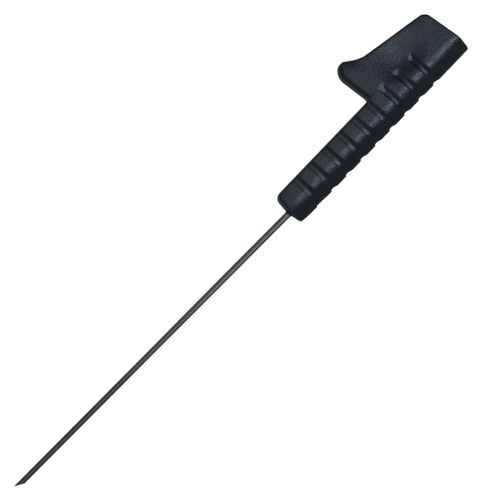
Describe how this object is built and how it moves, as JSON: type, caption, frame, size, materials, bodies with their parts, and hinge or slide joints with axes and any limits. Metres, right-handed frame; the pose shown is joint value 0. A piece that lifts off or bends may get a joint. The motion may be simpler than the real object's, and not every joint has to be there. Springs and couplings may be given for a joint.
{
  "type": "scratch awl",
  "caption": "Long thin steel blade with a one-sided bevelled point, moulded into a black ribbed plastic handle with a raised flat fin and a thumb dish at the butt.",
  "frame": {"origin": "on the blade's axis, where the blade leaves the mound on the handle's nose end", "axes": "+X along the blade from the point towards the butt, +Y towards the handle's fin, +Z square to the handle's flat faces"},
  "size_m": [0.3589, 0.0482, 0.0158],
  "materials": {
    "blade_steel": "dark drawn steel, fine lengthwise lines, bright ground bevel at the point",
    "handle_plastic": "satin black moulded plastic with a fine sparkle grain"
  },
  "bodies": {
    "root": {"shaft": "blade_steel", "handle": "handle_plastic"}
  },
  "joints": []
}
